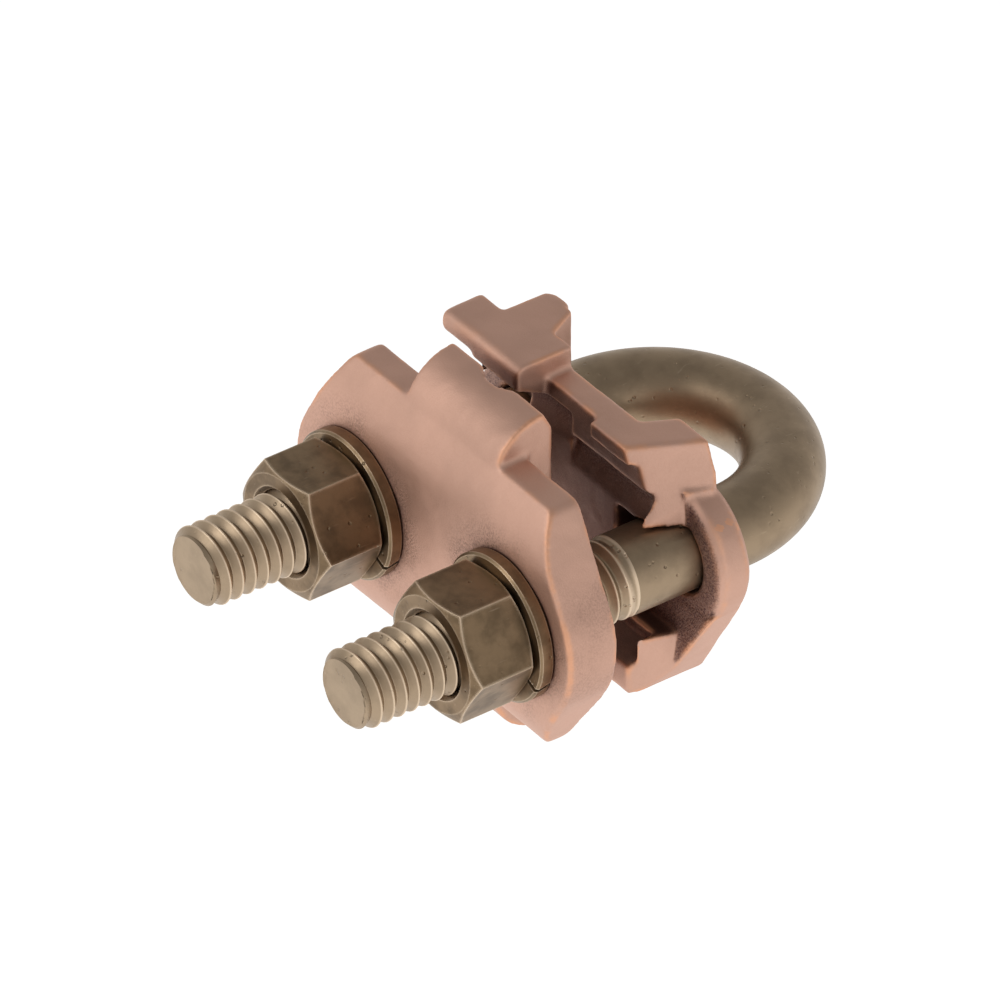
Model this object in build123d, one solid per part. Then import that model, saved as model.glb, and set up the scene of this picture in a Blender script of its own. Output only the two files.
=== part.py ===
"""Pipe grounding clamp: a bronze U-bolt, a cast copper saddle and cap, two nuts and two lock washers.

The clamp holds an upright pipe in the bend of the U-bolt and an upright stranded conductor
between the saddle and the cap. All sizes are in millimetres.
Frame: the origin is on the pipe's axis, level with the two legs of the U-bolt. +Z runs up the
pipe, +X runs from the left leg to the right leg, and the nuts are on the -Y side.
"""

from build123d import *
from math import cos, radians, sin, sqrt, tan
import os

# What the clamp holds
pipe_diameter = 21.34
conductor_diameter = 11.4

# U-bolt
bolt_diameter = 12.0
leg_spacing = 35.0
leg_end_chamfer = 1.1
pipe_play = 0.15
stub_length = 14.8

# Hex nuts and split lock washers
nut_across_flats = 18.0
nut_height = 10.4
nut_chamfer_angle = 30.0
nut_face_setback = 0.3
nut_countersink = 0.7
washer_outer_diameter = 22.0
washer_thickness = 2.3
washer_edge_chamfer = 0.35
washer_split_width = 0.7
washer_split_lean = 25.0
washer_split_angle = 25.0

# Fits
thread_clearance = 0.05
washer_clearance = 0.1
leg_hole_clearance = 0.35

# Saddle. Its right half reaches lower than its left half, which is the same form turned over.
web_thickness = 4.2
web_to_conductor = 2.1
saddle_top = 17.6
saddle_bottom = -21.0
seat_half_angle = 58.0
horn_gap = 4.4
horn_width = 7.0
horn_back_y = -5.6
lip_half_width = 17.0
lip_depth = 5.2
lip_thickness = 3.8
lip_undercut = 1.2
lip_undercut_height = 3.0
lip_web_height = 4.5
left_lip_overrun = 7.0
left_lip_back_gap = 2.5
ear_radius = 11.0
ear_thickness = 5.6
ear_behind_seat = 5.9
leg_pocket_top = 5.6
leg_pocket_bottom = -12.0
leg_pocket_inner_reach = 7.2
conductor_notch_clearance = 0.3
middle_half_width = 5.6

# Cap
cap_thickness = 8.2
cap_top = 20.3
cap_bottom = -19.3
cap_shoulder_half_width = 22.8
cap_end_radius = 14.4
cap_end_angle = 31.0
cap_flat_half_height = 9.5
cap_bevel_depth = 3.6
cap_bevel_bulge = 1.2
cap_foot_thickness = 1.8
cap_foot_rise = 10.0
block_width = 21.2
block_half_height = 26.0
block_back_setback = 3.1
block_back_bevel = 1.4
block_nose_half_height = 17.5
block_nose_setback = 2.9
block_nose_bulge_y = 1.6
block_nose_bulge_z = 1.9
conductor_to_cap_front = 15.8

# Rounding of the cast edges
cast_chamfer = 1.1
lip_fillet = 1.6
shoulder_fillet = 2.0
foot_fillet = 5.0

# How far a cutting shape runs past what it cuts, and how near an edge lies to the place it is picked by
cut_margin = 1.0
pick_margin = 0.1

bolt_radius = bolt_diameter / 2
pipe_radius = pipe_diameter / 2
conductor_radius = conductor_diameter / 2
leg_x = leg_spacing / 2
leg_hole_radius = bolt_radius + leg_hole_clearance

# Places along Y, from the pipe towards the nuts
web_front_y = -pipe_radius - web_thickness
conductor_y = web_front_y - web_to_conductor - conductor_radius
lip_front_y = web_front_y - lip_depth
ear_back_y = -pipe_radius + ear_behind_seat
ear_front_y = ear_back_y - ear_thickness
cap_front_y = conductor_y - conductor_to_cap_front
cap_back_y = cap_front_y + cap_thickness
block_back_y = conductor_y - block_back_setback
washer_front_y = cap_front_y - washer_thickness
nut_front_y = washer_front_y - nut_height
leg_end_y = nut_front_y - stub_length
bend_y = pipe_radius + pipe_play - (leg_x - bolt_radius)


def cylinder_along_y(radius, y_low, y_high, x=0.0, z=0.0):
    """A cylinder whose axis is parallel to Y."""
    middle = (y_low + y_high) / 2
    return Pos(x, middle, z) * Rot(90, 0, 0) * Cylinder(radius, y_high - y_low)


def round_cut_along_z(radius, y=0.0):
    """A cylinder about a line parallel to Z that runs past the whole clamp above and below."""
    return Pos(0, y, 0) * Cylinder(radius, 2 * (block_half_height + cut_margin))


def plate_along_y(outline, y_low, y_high):
    """A flat outline drawn as X and Z, given its thickness along Y."""
    plane = Plane(origin=(0, y_high, 0), x_dir=(1, 0, 0), z_dir=(0, -1, 0))
    return extrude(plane * outline, y_high - y_low)


def bar_along_x(profile, x_low, x_high):
    """A flat profile drawn as Y and Z, given its length along X."""
    plane = Plane(origin=(x_low, 0, 0), x_dir=(0, 1, 0), z_dir=(1, 0, 0))
    return extrude(plane * profile, x_high - x_low)


def leg_holes(y_low, y_high):
    """The two round holes that the legs of the U-bolt pass through."""
    left = cylinder_along_y(leg_hole_radius, y_low, y_high, -leg_x)
    return left + cylinder_along_y(leg_hole_radius, y_low, y_high, leg_x)


def make_u_bolt():
    """One round bar: two straight legs joined by a half turn behind the pipe."""
    path = CenterArc((0, bend_y), leg_x, 0, 180)
    start = Plane(origin=(leg_x, bend_y, 0), z_dir=(0, 1, 0))
    bar = sweep(start * Circle(bolt_radius), path=path)
    for x in (-leg_x, leg_x):
        leg = cylinder_along_y(bolt_radius, leg_end_y, bend_y, x)
        end = leg.faces().sort_by(Axis.Y)[0]
        bar += chamfer(end.edges(), leg_end_chamfer)
    return bar


def make_nut():
    """A hex nut about the Y axis with both faces chamfered. Its outer face is at y = 0."""
    corner_radius = nut_across_flats / sqrt(3)
    bore_radius = bolt_radius + thread_clearance
    face_radius = nut_across_flats / 2 - nut_face_setback
    reach = corner_radius + nut_face_setback
    drop = (reach - face_radius) * tan(radians(nut_chamfer_angle))
    turned = Polyline(
        (bore_radius, nut_countersink),
        (bore_radius + nut_countersink, 0),
        (face_radius, 0),
        (reach, drop),
        (reach, nut_height - drop),
        (face_radius, nut_height),
        (bore_radius + nut_countersink, nut_height),
        (bore_radius, nut_height - nut_countersink),
        close=True,
    )
    prism = plate_along_y(RegularPolygon(corner_radius, 6), 0, nut_height)
    return prism & revolve(make_face(turned), Axis.Y)


def make_lock_washer():
    """A split spring washer about the Y axis, pressed flat. Its outer face is at y = 0."""
    outer_radius = washer_outer_diameter / 2
    ring = cylinder_along_y(outer_radius, 0, washer_thickness)
    ring = chamfer(ring.edges().filter_by(GeomType.CIRCLE), washer_edge_chamfer)
    ring -= cylinder_along_y(bolt_radius + washer_clearance, 0, washer_thickness)
    slot_depth = (washer_thickness + cut_margin) / cos(radians(washer_split_lean))
    slot = Box(outer_radius, slot_depth, washer_split_width)
    slot = Rot(washer_split_lean, 0, 0) * slot
    slot = Pos(outer_radius, washer_thickness / 2, 0) * slot
    return ring - Rot(0, washer_split_angle, 0) * slot


def saddle_half_plan():
    """The right half of the saddle's block from above: the pipe's seat, a horn and the lip's edge."""
    seat_x = pipe_radius * sin(radians(seat_half_angle))
    seat_end_y = -pipe_radius * cos(radians(seat_half_angle))
    seat_middle = radians(seat_half_angle / 2)
    horn_x = pipe_radius + horn_gap
    seat = ThreePointArc(
        (0, -pipe_radius),
        (pipe_radius * sin(seat_middle), -pipe_radius * cos(seat_middle)),
        (seat_x, seat_end_y),
    )
    rim = Polyline(
        (seat_x, seat_end_y),
        (horn_x, horn_back_y),
        (horn_x + horn_width, horn_back_y),
        (lip_half_width, lip_front_y),
        (0, lip_front_y),
        (0, -pipe_radius),
    )
    return make_face(seat + rim)


def saddle_channel():
    """The hollow across the saddle's front, drawn as Y and Z, which leaves a lip above and below."""
    front_y = lip_front_y - cut_margin
    deep_y = web_front_y + lip_undercut
    upper = saddle_top - lip_thickness
    lower = saddle_bottom + lip_thickness
    return make_face(
        Polyline(
            (front_y, upper),
            (lip_front_y, upper),
            (deep_y, upper - lip_undercut_height),
            (web_front_y, upper - lip_undercut_height - lip_web_height),
            (web_front_y, lower + lip_undercut_height + lip_web_height),
            (deep_y, lower + lip_undercut_height),
            (lip_front_y, lower),
            (front_y, lower),
            close=True,
        )
    )


def saddle_half():
    """The right half of the saddle's block, open about the leg."""
    height = saddle_top - saddle_bottom
    half = Pos(0, 0, saddle_bottom) * extrude(saddle_half_plan(), height)
    upright = half.edges().filter_by(Axis.Z)
    half = chamfer([e for e in upright if e.center().X > lip_half_width - cut_margin], cast_chamfer)
    lips = [e for e in half.edges().filter_by(Axis.X) if e.center().Y < lip_front_y + pick_margin]
    half = fillet(lips, lip_fillet)
    half -= bar_along_x(saddle_channel(), -cut_margin, lip_half_width + cut_margin)
    pocket_x = leg_x - leg_pocket_inner_reach
    pocket = Box(
        leg_spacing,
        ear_front_y - lip_front_y + cut_margin,
        leg_pocket_top - leg_pocket_bottom,
        align=(Align.MIN, Align.MAX, Align.MIN),
    )
    return half - Pos(pocket_x, ear_front_y, leg_pocket_bottom) * pocket


def make_saddle():
    """The casting between the pipe and the conductor, which slides on the legs of the U-bolt."""
    right = saddle_half()
    step = Box(
        middle_half_width,
        2 * ear_radius,
        -saddle_bottom,
        align=(Align.MIN, Align.MAX, Align.MAX),
    )
    right -= Pos(0, 0, -saddle_top) * step
    saddle = right + Rot(0, 180, 0) * right
    overrun = Box(
        2 * left_lip_overrun,
        ear_front_y - lip_front_y - left_lip_back_gap,
        lip_thickness,
        align=(Align.CENTER, Align.MIN, Align.MAX),
    )
    overrun = fillet(overrun.edges().filter_by(Axis.X).sort_by(Axis.Y)[:2], lip_fillet)
    overrun = chamfer(overrun.edges().filter_by(Axis.Z).sort_by(Axis.X)[:2], cast_chamfer)
    saddle += Pos(-lip_half_width, lip_front_y, -saddle_bottom) * overrun
    ears = plate_along_y(SlotCenterToCenter(leg_spacing, 2 * ear_radius), ear_front_y, ear_back_y)
    ears = chamfer(ears.edges().filter_by(GeomType.CIRCLE), cast_chamfer)
    saddle += ears - round_cut_along_z(pipe_radius)
    saddle -= leg_holes(lip_front_y - cut_margin, ear_back_y + cut_margin)
    notch_radius = conductor_radius + conductor_notch_clearance
    return saddle - round_cut_along_z(notch_radius, conductor_y)


def cap_wing_outline():
    """The cap's wings from the nuts' side: round about each leg and straight to the shoulders."""
    shoulder = cap_shoulder_half_width
    end_x = leg_x + cap_end_radius * cos(radians(cap_end_angle))
    end_z = cap_end_radius * sin(radians(cap_end_angle))
    middle = make_face(
        Polyline(
            (-shoulder, cap_top),
            (shoulder, cap_top),
            (end_x, end_z),
            (end_x, -end_z),
            (shoulder, cap_bottom),
            (-shoulder, cap_bottom),
            (-end_x, -end_z),
            (-end_x, end_z),
            close=True,
        )
    )
    corners = middle.vertices()
    middle = fillet([v for v in corners if v.Y > cap_top - pick_margin], shoulder_fillet)
    corners = middle.vertices()
    middle = fillet([v for v in corners if v.Y < cap_bottom + pick_margin], foot_fillet)
    for x in (-leg_x, leg_x):
        middle += Pos(x, 0) * Circle(cap_end_radius)
    return middle


def cap_wing_profile():
    """The wings seen along X: a flat for the washers, curving back above and below it."""
    flat = cap_flat_half_height
    bevel_y = cap_front_y + cap_bevel_depth
    bulge_y = cap_front_y + cap_bevel_depth / 2 - cap_bevel_bulge
    upper = ThreePointArc((cap_front_y, flat), (bulge_y, (flat + cap_top) / 2), (bevel_y, cap_top))
    lower = ThreePointArc(
        (bevel_y, cap_bottom), (bulge_y, (cap_bottom - flat) / 2), (cap_front_y, -flat)
    )
    back = Polyline(
        (bevel_y, cap_top),
        (cap_back_y, cap_top),
        (cap_back_y, cap_bottom + cap_foot_rise),
        (bevel_y + cap_foot_thickness, cap_bottom),
        (bevel_y, cap_bottom),
    )
    return make_face(upper + back + lower + Line((cap_front_y, -flat), (cap_front_y, flat)))


def cap_block_profile():
    """The block over the conductor seen along X: a nose that rounds over above and below."""
    top = block_half_height
    shoulder_y = block_back_y - block_back_bevel
    nose_z = block_nose_half_height
    nose_y = cap_front_y + block_nose_setback
    bulge_y = (nose_y + shoulder_y) / 2 - block_nose_bulge_y
    bulge_z = (nose_z + top) / 2 + block_nose_bulge_z
    upper = ThreePointArc((shoulder_y, top), (bulge_y, bulge_z), (nose_y, nose_z))
    lower = ThreePointArc((nose_y, -nose_z), (bulge_y, -bulge_z), (shoulder_y, -top))
    flat = cap_flat_half_height
    front = Polyline((nose_y, nose_z), (cap_front_y, flat), (cap_front_y, -flat), (nose_y, -nose_z))
    back = Polyline(
        (shoulder_y, -top),
        (block_back_y, -top + 2 * block_back_bevel),
        (block_back_y, top - 2 * block_back_bevel),
        (shoulder_y, top),
    )
    return make_face(upper + front + lower + back)


def make_cap():
    """The casting that the nuts press onto the conductor: two wings and a block between them."""
    wings = plate_along_y(cap_wing_outline(), cap_front_y, cap_back_y)
    reach = leg_x + cap_end_radius + cut_margin
    wings &= bar_along_x(cap_wing_profile(), -reach, reach)
    block = bar_along_x(cap_block_profile(), -block_width / 2, block_width / 2)
    cap = wings + block
    cap -= leg_holes(cap_front_y - cut_margin, cap_back_y + cut_margin)
    return cap - round_cut_along_z(conductor_radius, conductor_y)


def write(node, shape):
    """Writes one sub-part to parts/NODE.step."""
    shape.label = node
    export_step(shape, os.path.join("parts", node + ".step"))


def main():
    os.makedirs("parts", exist_ok=True)
    write("u_bolt", make_u_bolt())
    write("saddle", make_saddle())
    write("cap", make_cap())
    for side, x in (("left", -leg_x), ("right", leg_x)):
        write(side + "_lock_washer", Pos(x, washer_front_y, 0) * make_lock_washer())
        write(side + "_nut", Pos(x, nut_front_y, 0) * make_nut())


main()
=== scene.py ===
"""Pipe grounding clamp: a threaded bronze U-bolt, nuts, split washers, and a cast copper saddle and cap.

Lengths are in metres. The origin is on the axis of the saddle's round seat, level with the two legs of
the U-bolt. +Z runs up that axis, +X runs from the left leg to the right leg, and the nuts are on the -Y
side.
"""

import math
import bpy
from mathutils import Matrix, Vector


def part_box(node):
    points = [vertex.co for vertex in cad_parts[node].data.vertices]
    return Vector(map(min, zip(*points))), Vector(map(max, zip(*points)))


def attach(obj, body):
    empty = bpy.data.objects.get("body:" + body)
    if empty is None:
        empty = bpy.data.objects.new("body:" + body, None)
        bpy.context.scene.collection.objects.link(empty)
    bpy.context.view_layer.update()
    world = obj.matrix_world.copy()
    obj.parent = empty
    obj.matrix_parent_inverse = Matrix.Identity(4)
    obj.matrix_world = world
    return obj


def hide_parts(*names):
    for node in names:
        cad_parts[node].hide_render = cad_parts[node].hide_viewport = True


bl_info = {
    "name": "Pipe grounding clamp",
    "version": (1, 0, 0),
    "blender": (4, 5, 0),
    "location": "View3D > Sidebar > Clamp",
    "description": "Models the cast and threaded pieces of a pipe grounding clamp and a plain studio",
    "category": "Mesh",
}

import bpy
from bpy.props import FloatProperty, FloatVectorProperty, IntProperty, PointerProperty
from mathutils import Vector

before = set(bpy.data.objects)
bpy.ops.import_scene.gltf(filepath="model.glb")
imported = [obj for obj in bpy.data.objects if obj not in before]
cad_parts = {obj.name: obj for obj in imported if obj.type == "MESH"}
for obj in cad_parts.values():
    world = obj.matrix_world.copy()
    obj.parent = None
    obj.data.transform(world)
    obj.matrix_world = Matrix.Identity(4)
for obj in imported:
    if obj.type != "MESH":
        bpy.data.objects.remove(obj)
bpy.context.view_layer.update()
BOLT_LOW, BOLT_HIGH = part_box("u_bolt")
MM = 0.001
# Each leg, nut and washer by its side of the clamp, with the sign of its X.
SIDES = {"left": -1, "right": 1}


class ClampBoltSizes(bpy.types.PropertyGroup):
    """Sizes of the threaded U-bolt."""

    diameter: FloatProperty(
        name="Bar diameter", description="Across the bar and the thread", default=0.012, unit="LENGTH"
    )
    spacing: FloatProperty(
        name="Leg spacing", description="Between the two legs' axes", default=0.035, unit="LENGTH"
    )
    pitch: FloatProperty(
        name="Thread pitch", description="From crest to crest", default=0.0021, unit="LENGTH"
    )
    depth: FloatProperty(
        name="Thread depth", description="From crest to root", default=0.00105, unit="LENGTH"
    )
    run_out: FloatProperty(
        name="Thread end", description="Where the thread ends along Y", default=-0.0204, unit="LENGTH"
    )
    end_chamfer: FloatProperty(
        name="End chamfer", description="At the ends of the legs", default=0.0011, unit="LENGTH"
    )
    sides: IntProperty(name="Sides", description="Flats round the bar", default=64, min=16)
    bend_steps: IntProperty(name="Bend steps", description="Steps round the half turn", default=64, min=8)


class ClampCastSizes(bpy.types.PropertyGroup):
    """Sizes of the surface of the two castings."""

    grid: FloatProperty(
        name="Grid", description="Size of the surface's squares", default=0.00036, unit="LENGTH"
    )
    softness: IntProperty(name="Softness", description="Rounds of smoothing at the edges", default=9, min=0)
    unevenness: FloatProperty(
        name="Unevenness", description="Height of the waves in the cast skin", default=0.00022, unit="LENGTH"
    )
    wave_length: FloatProperty(
        name="Wave length", description="From wave to wave in the cast skin", default=0.005, unit="LENGTH"
    )


class ClampFinishes(bpy.types.PropertyGroup):
    """Colours of the metals."""

    copper: FloatVectorProperty(
        name="Cast copper",
        description="The castings' skin",
        subtype="COLOR",
        default=(0.68, 0.425, 0.325),
    )
    # Painted shade: the dark colour put on the casting in concave spots and recesses.
    copper_painted_shade: FloatVectorProperty(
        name="Copper in hollows",
        description="Where the casting is darkest",
        subtype="COLOR",
        default=(0.105, 0.045, 0.040),
    )
    # Dark sand grain, also used as painted shade on the ears' front faces and round the nuts.
    copper_grain_and_shade: FloatVectorProperty(
        name="Sandy copper",
        description="The dark grain that the sand mould leaves",
        subtype="COLOR",
        default=(0.12, 0.068, 0.065),
    )
    copper_edge: FloatVectorProperty(
        name="Copper edges",
        description="Where the casting's edges are rubbed",
        subtype="COLOR",
        default=(0.80, 0.42, 0.25),
    )
    bronze: FloatVectorProperty(
        name="Bronze",
        description="The nuts' flats",
        subtype="COLOR",
        default=(0.275, 0.188, 0.110),
    )
    bronze_bar: FloatVectorProperty(
        name="Bronze bar",
        description="The smooth bend of the U-bolt",
        subtype="COLOR",
        default=(0.365, 0.270, 0.178),
    )
    # Lighter bronze for scratches, rubbed edges and thread crests; on edges and crests it is also a painted
    # highlight.
    bronze_rub_and_highlight: FloatVectorProperty(
        name="Bronze edges",
        description="Rubbed edges and thread crests",
        subtype="COLOR",
        default=(0.74, 0.58, 0.42),
    )


class ClampStudio(bpy.types.PropertyGroup):
    """The camera and the light."""

    target: FloatVectorProperty(
        name="Target",
        description="The middle of the picture",
        subtype="TRANSLATION",
        default=(-0.01046, -0.01931, -0.00407),
    )
    towards: FloatVectorProperty(
        name="Towards camera",
        description="Direction of the camera",
        subtype="DIRECTION",
        default=(0.653, -0.477, 0.588),
    )
    distance: FloatProperty(
        name="Distance", description="From the target to the camera", default=4.5667, unit="LENGTH"
    )
    lens: FloatProperty(name="Lens", description="Focal length in millimetres", default=1200.0)
    floor: FloatProperty(name="Floor", description="Height of the floor", default=-0.16, unit="LENGTH")
    floor_size: FloatProperty(
        name="Floor size", description="Length of the floor's sides", default=12.0, unit="LENGTH"
    )


class ClampSettings(bpy.types.PropertyGroup):
    """All sizes and colours of the clamp."""

    bolt: PointerProperty(type=ClampBoltSizes)
    cast: PointerProperty(type=ClampCastSizes)
    finish: PointerProperty(type=ClampFinishes)
    studio: PointerProperty(type=ClampStudio)


def settings():
    """The scene's sizes and colours."""
    return bpy.context.scene.grounding_clamp


def activate(obj):
    """Selects this object alone and makes it the active one."""
    bpy.ops.object.select_all(action="DESELECT")
    obj.select_set(True)
    bpy.context.view_layer.objects.active = obj


def edit_all(obj):
    """Enters edit mode with everything selected."""
    activate(obj)
    bpy.ops.object.mode_set(mode="EDIT")
    bpy.ops.mesh.select_all(action="SELECT")


def leave_edit():
    """Goes back to object mode."""
    bpy.ops.object.mode_set(mode="OBJECT")


def apply(obj, kind, **values):
    """Adds a modifier with these values and applies it."""
    activate(obj)
    modifier = obj.modifiers.new(kind.title(), kind)
    for key, value in values.items():
        setattr(modifier, key, value)
    bpy.ops.object.modifier_apply(modifier=modifier.name)


def mesh_object(name, points, edges, faces):
    """A new object from points in metres."""
    mesh = bpy.data.meshes.new(name)
    mesh.from_pydata(points, edges, faces)
    obj = bpy.data.objects.new(name, mesh)
    bpy.context.scene.collection.objects.link(obj)
    return obj


def select_vertices(obj, wanted):
    """Selects the vertices for which wanted(position) is true, and stays in edit mode."""
    activate(obj)
    bpy.ops.object.mode_set(mode="EDIT")
    bpy.ops.mesh.select_mode(type="VERT")
    bpy.ops.mesh.select_all(action="DESELECT")
    bpy.ops.object.mode_set(mode="OBJECT")
    for vertex in obj.data.vertices:
        vertex.select = wanted(vertex.co)
    bpy.ops.object.mode_set(mode="EDIT")


def coat(obj, material):
    """Makes this the object's only material."""
    obj.data.materials.clear()
    obj.data.materials.append(material)


def finish_piece(obj, body, slot, material, *nodes):
    """Gives a piece its body and material, and says which nodes it stands for, which it hides. The slot is
    not used.
    """
    coat(obj, material)
    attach(obj, body)
    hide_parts(*nodes)


EDGE_SAMPLES = 6
SHELTER_SAMPLES = 8


class Shader:
    """Adds nodes to a material one after another."""

    def __init__(self, name):
        self.material = bpy.data.materials.new(name)
        self.material.use_nodes = True
        self.tree = self.material.node_tree
        self.surface = self.tree.nodes["Principled BSDF"]
        self.place = self.tree.nodes.new("ShaderNodeTexCoord").outputs["Object"]

    def node(self, kind, inputs=(), **values):
        """A new node with its settings, and its inputs linked or set."""
        made = self.tree.nodes.new(kind)
        for key, value in values.items():
            setattr(made, key, value)
        for key, value in dict(inputs).items():
            self.feed(made.inputs[key], value)
        return made

    def feed(self, socket, value):
        """Links another node's output to a socket, or sets the socket's own value."""
        if isinstance(value, bpy.types.NodeSocket):
            self.tree.links.new(value, socket)
        else:
            socket.default_value = value

    def maths(self, operation, first, second=0.0):
        """The result of a sum on two numbers."""
        return self.node("ShaderNodeMath", {0: first, 1: second}, operation=operation).outputs[0]

    def reverse(self, share):
        """1 where a share is 0, and 0 where it is 1."""
        return self.maths("SUBTRACT", 1.0, share)

    def span(self, value, low, high):
        """A number from low to high for a value from 0 to 1."""
        inputs = {"Value": value, "To Min": low, "To Max": high}
        return self.node("ShaderNodeMapRange", inputs).outputs[0]

    def ramp(self, value, low, high):
        """0 below low, 1 above high and smooth between them."""
        inputs = {"Value": value, "From Min": low, "From Max": high}
        return self.node("ShaderNodeMapRange", inputs, interpolation_type="SMOOTHSTEP").outputs[0]

    def mix(self, share, first, second, blend="MIX"):
        """A colour between two colours."""
        made = self.node("ShaderNodeMix", data_type="RGBA", blend_type=blend)
        colours = [s for s in made.inputs if s.type == "RGBA"]
        self.feed(made.inputs[0], share)
        for socket, value in zip(colours, (first, second)):
            self.feed(socket, value if isinstance(value, bpy.types.NodeSocket) else (*value[:3], 1.0))
        return [s for s in made.outputs if s.type == "RGBA"][0]

    def noise(self, size, detail=2.0, roughness=0.5, stretch=None):
        """Cloudy noise whose features are about size metres across."""
        place = self.place
        if stretch:
            place = self.node("ShaderNodeMapping", {"Vector": place, "Scale": stretch}).outputs[0]
        inputs = {"Vector": place, "Scale": 1.0 / size, "Detail": detail, "Roughness": roughness}
        return self.node("ShaderNodeTexNoise", inputs).outputs[0]

    def pits(self, size, low, high):
        """Round spots, 1 in the middle of a spot."""
        cells = self.node("ShaderNodeTexVoronoi", {"Vector": self.place, "Scale": 1.0 / size})
        return self.reverse(self.ramp(cells.outputs["Distance"], low, high))

    def leg_distance(self):
        """Distance from the nearer leg's axis."""
        parts = self.node("ShaderNodeSeparateXYZ", {0: self.place})
        across = self.maths("ABSOLUTE", parts.outputs["X"])
        across = self.maths("SUBTRACT", across, settings().bolt.spacing / 2)
        flat = self.node("ShaderNodeCombineXYZ", {"X": across, "Y": parts.outputs["Z"]}).outputs[0]
        return self.node("ShaderNodeVectorMath", {0: flat}, operation="LENGTH").outputs["Value"]

    def edges(self, radius, low, high):
        """1 on edges and corners that stand out, from a rounded normal."""
        true = self.node("ShaderNodeNewGeometry").outputs["Normal"]
        soft = self.node("ShaderNodeBevel", {"Radius": radius}, samples=EDGE_SAMPLES).outputs[0]
        dot = self.node("ShaderNodeVectorMath", {0: true, 1: soft}, operation="DOT_PRODUCT")
        return self.ramp(self.reverse(dot.outputs["Value"]), low, high)

    def shelter(self, reach):
        """0 in the open and 1 deep in a recess; it sets where shade is painted."""
        inputs = {"Distance": reach}
        open_share = self.node("ShaderNodeAmbientOcclusion", inputs, samples=SHELTER_SAMPLES).outputs["AO"]
        return self.reverse(open_share)

    def bump(self, height, distance, normal=None):
        """A normal that follows a height, whose full range is this distance."""
        inputs = {"Height": height, "Distance": distance}
        if normal:
            inputs["Normal"] = normal
        return self.node("ShaderNodeBump", inputs).outputs[0]

    def finish(self, colour, roughness, normal):
        """The finished metal."""
        self.feed(self.surface.inputs["Base Color"], colour)
        self.feed(self.surface.inputs["Roughness"], roughness)
        self.feed(self.surface.inputs["Normal"], normal)
        self.surface.inputs["Metallic"].default_value = 1.0
        return self.material


# The least and the full pointiness of a concave spot, where shade is painted, and of a rubbed edge.
PAINTED_SHADE_BEND = (0.40, 0.485)
RUBBED_BEND = (0.503, 0.535)
# Where the sand grain and painted shade of the castings start and are full: along Y, and from a leg's axis.
EARS_FROM_Y = -14.6 * MM
EARS_FULL_Y = -13.2 * MM
CAP_FULL_Y = -27 * MM
CAP_TO_Y = -22 * MM
NUT_RIM = 9 * MM
NUT_SHADE_REACH = 17 * MM


def cast_copper():
    """Sand-cast copper alloy: satin, with grain and painted contact shade round the nuts, grain and painted
    shade on the ears' front faces, painted shade in recesses, and rubbed at the edges.
    """
    made_before = bpy.data.materials.get("sand_cast_copper")
    if made_before:
        return made_before
    colours = settings().finish
    s = Shader("sand_cast_copper")
    grain_size = 0.30 * MM
    fine_grain_size = 0.16 * MM
    patch_size = 14 * MM
    sand = s.noise(grain_size, 3.0, 0.65)
    fine = s.noise(fine_grain_size, 2.0)
    patches = s.noise(patch_size, 3.0)
    # Grain and painted shade: on the ears' front faces and round the nuts.
    ears = grain_and_shade_ears(s)
    grain_and_shade = s.maths("MAXIMUM", grain_and_shade_round_nuts(s), ears)
    bend = s.node("ShaderNodeNewGeometry").outputs["Pointiness"]
    # Painted shade, darkest in concave spots and where little of the room is seen.
    painted_shade = s.reverse(s.ramp(bend, *PAINTED_SHADE_BEND))
    painted_shade_reach = 22 * MM
    painted_shade = s.maths("MAXIMUM", painted_shade, s.ramp(s.shelter(painted_shade_reach), 0.42, 0.72))
    rub_size = 4 * MM
    rubbed = s.ramp(s.noise(rub_size, 3.0), 0.36, 0.62)
    rubbed = s.maths("MULTIPLY", s.ramp(bend, *RUBBED_BEND), rubbed)
    specks = s.maths("MULTIPLY", s.ramp(sand, 0.40, 0.66), grain_and_shade)
    dull_share = 0.90
    duller = [dull_share * c for c in colours.copper]
    colour = s.mix(s.ramp(patches, 0.35, 0.7), colours.copper, duller)
    # Tints over the base: grain and painted shade on the ears, dark grain specks with painted contact shade
    # round the nuts, painted shade in recesses, and orange rubbed edges.
    for share, strength, tint in (
        (ears, 0.45, colours.copper_grain_and_shade),
        (specks, 0.80, colours.copper_grain_and_shade),
        (painted_shade, 0.80, colours.copper_painted_shade),
        (rubbed, 0.75, colours.copper_edge),
    ):
        colour = s.mix(s.maths("MULTIPLY", share, strength), colour, tint)
    least_grain = 0.10
    grain = s.maths("MULTIPLY", sand, s.maths("ADD", grain_and_shade, least_grain))
    grain_height = 0.22 * MM
    fine_grain_height = 0.02 * MM
    normal = s.bump(grain, grain_height)
    normal = s.bump(fine, fine_grain_height, normal)
    return s.finish(colour, s.span(sand, 0.46, 0.66), normal)


def grain_and_shade_ears(s):
    """1 on the front faces of the saddle's ears, which keep the sand's grain and carry a painted shade."""
    depth = s.node("ShaderNodeSeparateXYZ", {0: s.place}).outputs["Y"]
    facing = s.node("ShaderNodeSeparateXYZ", {0: s.node("ShaderNodeTexCoord").outputs["Normal"]})
    front = s.ramp(s.maths("MULTIPLY", facing.outputs["Y"], -1.0), 0.70, 0.95)
    return s.maths("MULTIPLY", front, s.ramp(depth, EARS_FROM_Y, EARS_FULL_Y))


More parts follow.
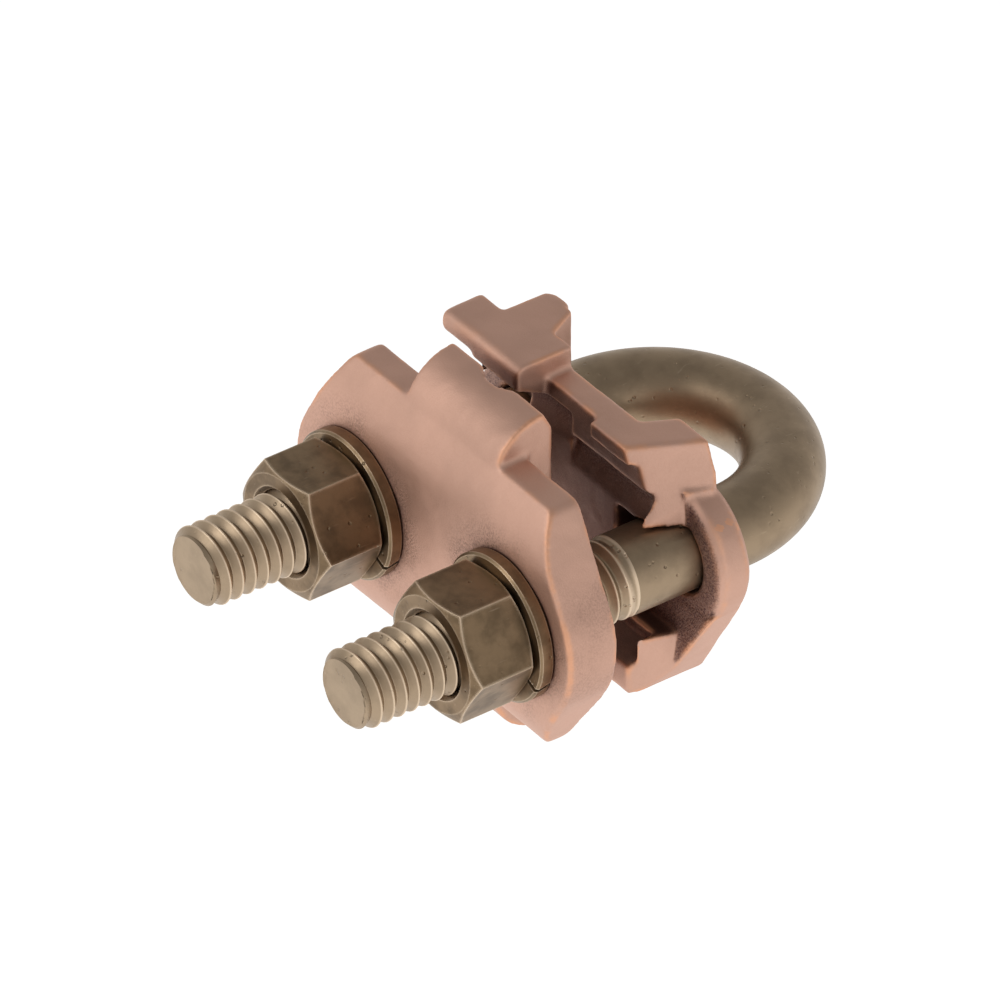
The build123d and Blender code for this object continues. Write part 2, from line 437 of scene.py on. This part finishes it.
def grain_and_shade_round_nuts(s):
    """Uneven grain with painted contact shade on the cap, both fading away from the nuts."""
    depth = s.node("ShaderNodeSeparateXYZ", {0: s.place}).outputs["Y"]
    on_cap = s.reverse(s.ramp(depth, CAP_FULL_Y, CAP_TO_Y))
    around_nuts = s.maths("MULTIPLY", s.reverse(s.ramp(s.leg_distance(), NUT_RIM, NUT_SHADE_REACH)), on_cap)
    patch_size = 7 * MM
    least_grain_and_shade = 0.20
    extra_grain_and_shade = 0.65
    uneven = s.maths("MULTIPLY", s.ramp(s.noise(patch_size, 2.0), 0.38, 0.66), extra_grain_and_shade)
    return s.maths("MULTIPLY", around_nuts, s.maths("ADD", uneven, least_grain_and_shade))


def bronze(name, base, edge_radius, stain=0.62, crests=False):
    """Aged bronze with small pits and scratches, and lighter at edges and thread crests, where it is rubbed
    and a highlight is painted.
    """
    colours = settings().finish
    s = Shader(name)
    stain_size = 5 * MM
    scratch_size = 0.5 * MM
    scratch_stretch = (1.0, 0.12, 1.0)
    pit_size = 1.3 * MM
    pit_zone_size = 3 * MM
    pit_height = 0.10 * MM
    stains = s.noise(stain_size, 4.0, 0.6)
    scratches = s.ramp(s.noise(scratch_size, 2.0, 0.5, stretch=scratch_stretch), 0.66, 0.78)
    pits = s.pits(pit_size, 0.10, 0.24)
    pits = s.maths("MULTIPLY", pits, s.ramp(s.noise(pit_zone_size, 2.0), 0.5, 0.62))
    # Lighter edges on nuts and washers and lighter thread crests on the bar: rubbed wear and a painted
    # highlight.
    rubbed = crests_rubbed_and_highlit(s) if crests else s.edges(edge_radius, 0.012, 0.09)
    darker = [stain * c for c in base]
    colour = s.mix(s.ramp(stains, 0.38, 0.68), base, darker)
    for share, strength, tint in (
        (scratches, 0.18, colours.bronze_rub_and_highlight),
        (pits, 0.7, darker),
        (rubbed, 0.9, colours.bronze_rub_and_highlight),
    ):
        colour = s.mix(s.maths("MULTIPLY", share, strength), colour, tint)
    height = s.maths("SUBTRACT", s.maths("MULTIPLY", stains, 0.5), pits)
    return s.finish(colour, s.span(stains, 0.34, 0.52), s.bump(height, pit_height))


def crests_rubbed_and_highlit(s):
    """1 on the crests of the two threads, and a little between them: rubbed wear and a painted highlight."""
    bolt = settings().bolt
    radius = bolt.diameter / 2
    crest_from = radius - 0.22 * MM
    crest_full = radius - 0.04 * MM
    least_crest = 0.15
    crest = s.ramp(s.leg_distance(), crest_from, crest_full)
    depth = s.node("ShaderNodeSeparateXYZ", {0: s.place}).outputs["Y"]
    threaded = s.maths("LESS_THAN", depth, bolt.run_out)
    return s.maths("MULTIPLY", s.maths("MAXIMUM", crest, least_crest), threaded)


# One pitch of the thread from crest to crest, each point as a share of the pitch and of the depth.
THREAD_SHAPE = (
    (0, 0),
    (0.05, 0.04),
    (0.11, 0.18),
    (0.42, 0.93),
    (0.5, 1),
    (0.58, 0.93),
    (0.89, 0.18),
    (0.95, 0.04),
    (1, 0),
)
# The pitches over which the thread runs out into the plain bar.
RUN_OUT_TURNS = 1.6
# Points nearer than this, in metres, are one: on a thread, in the finished U-bolt and in a CAD copy.
THREAD_MERGE = 0.001 * MM
BOLT_MERGE = 0.005 * MM
CAD_MERGE = 0.0005 * MM


def thread_profile():
    """One pitch of the thread as radius and length, from one crest to the next."""
    bolt = settings().bolt
    radius = bolt.diameter / 2
    return [(radius - depth * bolt.depth, 0, share * bolt.pitch) for share, depth in THREAD_SHAPE]


def threaded_leg(side):
    """The threaded stretch of one leg: a right-hand thread that is turned down at its end and runs out."""
    bolt = settings().bolt
    length = bolt.run_out - BOLT_LOW.y
    turns = math.ceil(length / bolt.pitch) + 2
    points = thread_profile()
    links = [(i, i + 1) for i in range(len(points) - 1)]
    leg = mesh_object("thread_" + side, points, links, [])
    apply(
        leg,
        "SCREW",
        screw_offset=bolt.pitch,
        iterations=turns,
        steps=bolt.sides,
        render_steps=bolt.sides,
        use_merge_vertices=True,
        merge_threshold=THREAD_MERGE,
    )
    low = bolt.pitch
    high = low + length
    edit_all(leg)
    bpy.ops.mesh.bisect(plane_co=(0, 0, low), plane_no=(0, 0, 1), clear_inner=True, use_fill=True)
    bpy.ops.mesh.select_all(action="SELECT")
    bpy.ops.mesh.bisect(plane_co=(0, 0, high), plane_no=(0, 0, 1), clear_outer=True)
    leave_edit()
    turn_down(leg, low, high)
    even_rim(leg, high)
    leg.rotation_euler.x = -math.pi / 2
    leg.location = (SIDES[side] * bolt.spacing / 2, BOLT_LOW.y - low, 0)
    activate(leg)
    bpy.ops.object.transform_apply(location=True, rotation=True, scale=False)
    return leg


def turn_down(leg, low, high):
    """Lets the thread fade out below high, and turns the chamfer at the leg's end."""
    bolt = settings().bolt
    radius = bolt.diameter / 2
    fade_length = RUN_OUT_TURNS * bolt.pitch
    for vertex in leg.data.vertices:
        reach = vertex.co.xy.length
        fade = min(1.0, (high - vertex.co.z) / fade_length)
        turned = radius - max(0.0, bolt.end_chamfer - (vertex.co.z - low))
        wanted = min(radius - (radius - reach) * fade, turned)
        vertex.co.xy *= wanted / reach


def even_rim(leg, high):
    """Leaves only the rim's points that meet the bar's, so that the two can be joined."""
    step = math.tau / settings().bolt.sides
    flat = 0.01 * MM
    off_step = 0.01

    def between_steps(place):
        share = math.atan2(place.y, place.x) / step
        return abs(place.z - high) < flat and abs(share - round(share)) > off_step

    select_vertices(leg, between_steps)
    bpy.ops.mesh.dissolve_verts()
    leave_edit()


def bent_bar():
    """The plain bar between the two threads: a circle drawn along one leg, round the bend and back."""
    bolt = settings().bolt
    bend_y = BOLT_HIGH.y - (bolt.spacing + bolt.diameter) / 2
    straight = bend_y - bolt.run_out
    bpy.ops.object.select_all(action="DESELECT")
    bpy.ops.mesh.primitive_circle_add(
        vertices=bolt.sides,
        radius=bolt.diameter / 2,
        location=(bolt.spacing / 2, bolt.run_out, 0),
        rotation=(math.pi / 2, 0, 0),
    )
    bar = bpy.context.active_object
    bar.name = "u_bolt_bar"
    bpy.ops.object.transform_apply(location=True, rotation=True, scale=False)
    edit_all(bar)
    bpy.ops.mesh.extrude_region_move(TRANSFORM_OT_translate={"value": (0, straight, 0)})
    bpy.ops.mesh.spin(
        steps=bolt.bend_steps, angle=-math.pi, center=(0, bend_y, 0), axis=(0, 0, 1), use_auto_merge=False
    )
    bpy.ops.mesh.extrude_region_move(TRANSFORM_OT_translate={"value": (0, -straight, 0)})
    leave_edit()
    return bar


SMOOTH_ANGLE = math.radians(35)
# How wide a lighter edge, rubbed and with a painted highlight, is on the nuts and on the finer pieces, and
# how dark the bar's stains are.
NUT_EDGE = 0.7 * MM
FINE_EDGE = 0.3 * MM
BAR_STAIN = 0.82


class CLAMP_OT_u_bolt(bpy.types.Operator):
    """Models the U-bolt with its threaded legs"""

    bl_idname = "clamp.model_u_bolt"
    bl_label = "U-bolt"

    def execute(self, context):
        bar = bent_bar()
        legs = [threaded_leg(side) for side in SIDES]
        activate(bar)
        for leg in legs:
            leg.select_set(True)
        bpy.ops.object.join()
        bar.name = "threaded_u_bolt"
        edit_all(bar)
        bpy.ops.mesh.remove_doubles(threshold=BOLT_MERGE)
        bpy.ops.mesh.normals_make_consistent(inside=False)
        leave_edit()
        bpy.ops.object.shade_smooth_by_angle(angle=SMOOTH_ANGLE)
        base = list(settings().finish.bronze_bar)
        material = bronze("aged_bronze_bar", base, FINE_EDGE, BAR_STAIN, crests=True)
        finish_piece(bar, "u_bolt", "bronze_bolt", material, "u_bolt")
        return {"FINISHED"}


class CLAMP_OT_nuts(bpy.types.Operator):
    """Gives the two hex nuts their aged bronze"""

    bl_idname = "clamp.finish_nuts"
    bl_label = "Hex nuts"

    def execute(self, context):
        material = bronze("aged_bronze_nut", list(settings().finish.bronze), NUT_EDGE)
        for side in SIDES:
            coat(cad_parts[side + "_nut"], material)
        return {"FINISHED"}


class CLAMP_OT_washers(bpy.types.Operator):
    """Gives the two split washers their aged bronze"""

    bl_idname = "clamp.finish_washers"
    bl_label = "Split washers"

    def execute(self, context):
        material = bronze("aged_bronze_washer", list(settings().finish.bronze), FINE_EDGE)
        for side in SIDES:
            coat(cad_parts[side + "_lock_washer"], material)
        return {"FINISHED"}


def joined_copy(node, name):
    """A copy of a CAD node whose loose triangles are joined."""
    copy = bpy.data.objects.new(name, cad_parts[node].data.copy())
    bpy.context.scene.collection.objects.link(copy)
    edit_all(copy)
    bpy.ops.mesh.remove_doubles(threshold=CAD_MERGE)
    leave_edit()
    return copy


def combine(obj, lower, upper, operation):
    """Cuts away or unites a block that spans two outlines with the same count of points, in millimetres."""
    count = len(lower)
    points = [tuple(MM * v for v in p) for p in (*lower, *upper)]
    faces = [tuple(range(count)), tuple(range(count, 2 * count))]
    faces += [(i, (i + 1) % count, count + (i + 1) % count, count + i) for i in range(count)]
    block = mesh_object("cutter", points, [], faces)
    edit_all(block)
    bpy.ops.mesh.normals_make_consistent(inside=False)
    leave_edit()
    apply(obj, "BOOLEAN", object=block, operation=operation, solver="EXACT")
    bpy.data.objects.remove(block)


def cut_away(obj, lower, upper):
    """Cuts a block between two outlines out of an object."""
    combine(obj, lower, upper, "DIFFERENCE")


def cut_plan(obj, outline, low, high, turned=False):
    """Cuts an outline drawn as X and Y between two heights, or the same turned over about Y."""
    lower = turn([(x, y, low) for x, y in outline], turned)
    upper = turn([(x, y, high) for x, y in outline], turned)
    cut_away(obj, lower, upper)


def cast_skin(obj):
    """Turns the edges of a casting soft and gives its skin shallow waves."""
    cast = settings().cast
    apply(obj, "REMESH", mode="VOXEL", voxel_size=cast.grid, use_smooth_shade=True)
    apply(obj, "SMOOTH", factor=0.5, iterations=cast.softness)
    waves = bpy.data.textures.new(obj.name + "_waves", "CLOUDS")
    waves.noise_scale = cast.wave_length
    waves.noise_depth = 2
    apply(obj, "DISPLACE", texture=waves, texture_coords="LOCAL", strength=cast.unevenness, mid_level=0.5)
    activate(obj)
    bpy.ops.object.shade_smooth()


# Places on the saddle's right half, in millimetres. The left half is the same form turned over about Y.
SADDLE_TOP = 17.6
EAR_TOP = 11.2
EAR_FRONT = -10.45
EAR_BACK = -4.85
BLOCK_FOOT = 5.6
BLOCK_HEAD = 19.0
BLOCK_BACK = 2.0
# The block's outer side at its top: a place on it, and how far it moves out per millimetre back and down.
SIDE_X = 14.2
SIDE_Y = -15.5
SIDE_SLANT = 0.5046
SIDE_SPREAD = 0.413
LIP_LOW = 9.0
LIP_HIGH = 15.0
LIP_END = 5.9
SEAT_HEAD = 24.0
# Past the saddle on each side, in front and behind, so that a cut runs right through.
FAR = 40.0
FAR_BELOW = -26.0
IN_FRONT = -24.0
BEHIND = 3.0


def turn(points, turned):
    """Points of the right half, or of the same form turned over about Y."""
    sign = -1 if turned else 1
    return [(sign * x, y, sign * z) for x, y, z in points]


def at_depth(outline, y):
    """An outline drawn as X and Z, placed at this depth."""
    return [(x, y, z) for x, z in outline]


def lean_x(y, z):
    """Where the slanted side of a block stands at this depth and height."""
    return SIDE_X + SIDE_SLANT * (y - SIDE_Y) - SIDE_SPREAD * (z - SADDLE_TOP)


def cut_leaning_side(saddle, turned):
    """Cuts the block's outer side so that it leans back and outwards."""
    for low, high, back in ((BLOCK_FOOT, EAR_TOP, EAR_FRONT), (EAR_TOP, BLOCK_HEAD, BLOCK_BACK)):
        lower, upper = (
            [(lean_x(y, z), y, z) for y in (IN_FRONT, back)] + [(FAR, back, z), (FAR, IN_FRONT, z)]
            for z in (low, high)
        )
        cut_away(saddle, turn(lower, turned), turn(upper, turned))


def cut_lip(saddle, turned):
    """Sets the lip back along the block, further back in the middle and below its edge."""
    front = -16.3
    set_back = -14.9
    middle_ends = (-5.55, 5.95)
    step_end = 17.4
    for (left, right), back, low, high in (
        ((LIP_END, FAR), front, BLOCK_FOOT, BLOCK_HEAD),
        (middle_ends, set_back, BLOCK_FOOT, BLOCK_HEAD),
        ((LIP_END, step_end), set_back, LIP_LOW, LIP_HIGH),
    ):
        outline = ((left, IN_FRONT), (right, IN_FRONT), (right, back), (left, back))
        cut_plan(saddle, outline, low, high, turned)


def cut_seat(saddle, turned):
    """Cuts the seat's nearly straight front line and its slanted ends above the ears."""
    half_line = ((0.0, -10.6), (9.9, -10.5), (12.9, -4.7), (12.9, BEHIND), (0.0, BEHIND))
    for mirror in (-1, 1):
        cut_plan(saddle, [(mirror * x, y) for x, y in half_line], EAR_TOP, SEAT_HEAD, turned)


def shape_lower_corner(saddle, turned):
    """Fills the web under the ear and cuts its slanted corner, bevelled behind as the ear is."""
    web = ((14.0, -7.4), (14.0, -20.9), (18.1, -20.9), (27.0, -5.9), (24.5, -7.4))
    web_lean = 0.143
    web_top = -6.2
    web_front = EAR_FRONT - 0.05
    front = [(x, web_front + web_lean * (z - web_top), z) for x, z in web]
    combine(saddle, turn(front, turned), turn(at_depth(web, EAR_BACK), turned), "UNION")
    corner = ((17.9, -21.3), (32.1, 2.6), (FAR, 2.6), (FAR, FAR_BELOW), (17.9, FAR_BELOW))
    corner_front = -13.2 if turned else IN_FRONT
    bevel_from = -5.95
    bevel_to = -3.0
    inwards, upwards = -2.54, 1.51
    bevelled = [(x + inwards, z + upwards) for x, z in corner]
    middle = turn(at_depth(corner, bevel_from), turned)
    cut_away(saddle, turn(at_depth(corner, corner_front), turned), middle)
    cut_away(saddle, middle, turn(at_depth(bevelled, bevel_to), turned))


def cut_lower_lip(saddle):
    """Sets the saddle's lower lip back."""
    left = 4.0
    back = -18.3
    outline = ((left, IN_FRONT), (FAR, IN_FRONT), (FAR, back), (left, back))
    low, high = -24.0, -10.0
    cut_plan(saddle, outline, low, high)


class CLAMP_OT_saddle(bpy.types.Operator):
    """Models the cast saddle with its horns, lips and ears"""

    bl_idname = "clamp.model_saddle"
    bl_label = "Saddle"

    def execute(self, context):
        saddle = joined_copy("saddle", "cast_saddle")
        for turned in (False, True):
            cut_leaning_side(saddle, turned)
            cut_lip(saddle, turned)
            cut_seat(saddle, turned)
            shape_lower_corner(saddle, turned)
        cut_lower_lip(saddle)
        cast_skin(saddle)
        finish_piece(saddle, "saddle", "cast_copper", cast_copper(), "saddle")
        return {"FINISHED"}


class CLAMP_OT_cap(bpy.types.Operator):
    """Models the cast cap under the washers and the nuts"""

    bl_idname = "clamp.model_cap"
    bl_label = "Cap"

    def execute(self, context):
        cap = joined_copy("cap", "cast_cap")
        cast_skin(cap)
        finish_piece(cap, "cap", "cast_copper", cast_copper(), "cap")
        return {"FINISHED"}


WHITE = (1.0, 1.0, 1.0, 1.0)
FLOOR_GREY = (0.93, 0.93, 0.93, 1.0)
# What the floor adds to its own lit colour, for the rays that should see it white.
FLOOR_GLOW = 0.55
FLOOR_ROUGHNESS = 0.9
# The room's light below and above, and the heights of a direction between which it changes.
ROOM_LIGHT = (1.05, 0.34)
ROOM_HEIGHTS = (-0.7, 0.9)
# The nearest and the farthest thing that the camera shows.
CAMERA_REACH = (0.01, 20.0)
# Each lamp's name, place, size in metres and power in watts.
LAMPS = (
    ("key_lamp", (-0.25, -0.75, 0.55), 0.5, 2.0),
    ("side_lamp", (0.85, -0.15, 0.25), 0.5, 0.6),
)


def soft_lamp(name, place, size, power):
    """A square lamp that shines at the clamp."""
    bpy.ops.object.select_all(action="DESELECT")
    bpy.ops.object.light_add(type="AREA", location=place)
    lamp = bpy.context.active_object
    lamp.name = name
    lamp.data.size = size
    lamp.data.energy = power
    lamp.rotation_euler = Vector(place).to_track_quat("Z", "Y").to_euler()


def pale_floor():
    """A pale floor that the camera and the metal see as white, and that keeps the clamp's shadow."""
    s = Shader("pale_floor")
    rays = s.node("ShaderNodeLightPath").outputs
    seen = s.maths("MAXIMUM", rays["Is Camera Ray"], rays["Is Glossy Ray"])
    seen = s.maths("MAXIMUM", seen, rays["Is Transmission Ray"])
    s.feed(s.surface.inputs["Emission Strength"], s.maths("MULTIPLY", seen, FLOOR_GLOW))
    s.feed(s.surface.inputs["Emission Color"], WHITE)
    s.feed(s.surface.inputs["Base Color"], FLOOR_GREY)
    s.feed(s.surface.inputs["Roughness"], FLOOR_ROUGHNESS)
    return s.material


def pale_room():
    """A pale room that is dimmer above than below, for the light on the metal."""
    world = bpy.data.worlds.new("pale_room")
    bpy.context.scene.world = world
    world.use_nodes = True
    tree = world.node_tree
    background = tree.nodes["Background"]
    direction = tree.nodes.new("ShaderNodeTexCoord").outputs["Generated"]
    height = tree.nodes.new("ShaderNodeSeparateXYZ")
    ramp = tree.nodes.new("ShaderNodeMapRange")
    ramp.inputs["From Min"].default_value, ramp.inputs["From Max"].default_value = ROOM_HEIGHTS
    ramp.inputs["To Min"].default_value, ramp.inputs["To Max"].default_value = ROOM_LIGHT
    tree.links.new(direction, height.inputs[0])
    tree.links.new(height.outputs["Z"], ramp.inputs["Value"])
    tree.links.new(ramp.outputs[0], background.inputs["Strength"])
    background.inputs["Color"].default_value = WHITE


def aimed_camera():
    """The camera that looks at the clamp as the settings say."""
    studio = settings().studio
    bpy.ops.object.camera_add()
    camera = bpy.context.active_object
    towards = Vector(studio.towards).normalized()
    camera.location = Vector(studio.target) + studio.distance * towards
    camera.rotation_euler = towards.to_track_quat("Z", "Y").to_euler()
    camera.data.lens = studio.lens
    camera.data.clip_start, camera.data.clip_end = CAMERA_REACH
    return camera


class CLAMP_OT_stage(bpy.types.Operator):
    """Sets the floor, the soft light and the camera"""

    bl_idname = "clamp.set_stage"
    bl_label = "Stage"

    def execute(self, context):
        studio = settings().studio
        bpy.ops.object.select_all(action="DESELECT")
        bpy.ops.mesh.primitive_plane_add(size=studio.floor_size, location=(0, 0, studio.floor))
        floor = context.active_object
        floor.name = "floor"
        floor.data.materials.append(pale_floor())
        pale_room()
        for lamp in LAMPS:
            soft_lamp(*lamp)
        context.scene.camera = aimed_camera()
        context.scene.view_settings.view_transform = "Standard"
        return {"FINISHED"}


class CLAMP_PT_panel(bpy.types.Panel):
    """Lists the pieces of the clamp"""

    bl_label = "Pipe grounding clamp"
    bl_space_type = "VIEW_3D"
    bl_region_type = "UI"
    bl_category = "Clamp"

    def draw(self, context):
        for operator in OPERATORS:
            self.layout.operator(operator.bl_idname)
        clamp = context.scene.grounding_clamp
        for group in (clamp.bolt, clamp.cast, clamp.finish, clamp.studio):
            for name in group.bl_rna.properties.keys():
                if name not in ("rna_type", "name"):
                    self.layout.prop(group, name)


GROUPS = (ClampBoltSizes, ClampCastSizes, ClampFinishes, ClampStudio, ClampSettings)
OPERATORS = (CLAMP_OT_stage, CLAMP_OT_u_bolt, CLAMP_OT_nuts, CLAMP_OT_washers, CLAMP_OT_saddle, CLAMP_OT_cap)


def register():
    for cls in (*GROUPS, *OPERATORS, CLAMP_PT_panel):
        bpy.utils.register_class(cls)
    bpy.types.Scene.grounding_clamp = PointerProperty(type=ClampSettings)


def unregister():
    del bpy.types.Scene.grounding_clamp
    for cls in reversed((*GROUPS, *OPERATORS, CLAMP_PT_panel)):
        bpy.utils.unregister_class(cls)


def main():
    """Models every piece."""
    register()
    bpy.ops.clamp.set_stage()
    bpy.ops.clamp.model_u_bolt()
    bpy.ops.clamp.finish_nuts()
    bpy.ops.clamp.finish_washers()
    bpy.ops.clamp.model_saddle()
    bpy.ops.clamp.model_cap()


if __name__ == "__main__":
    main()
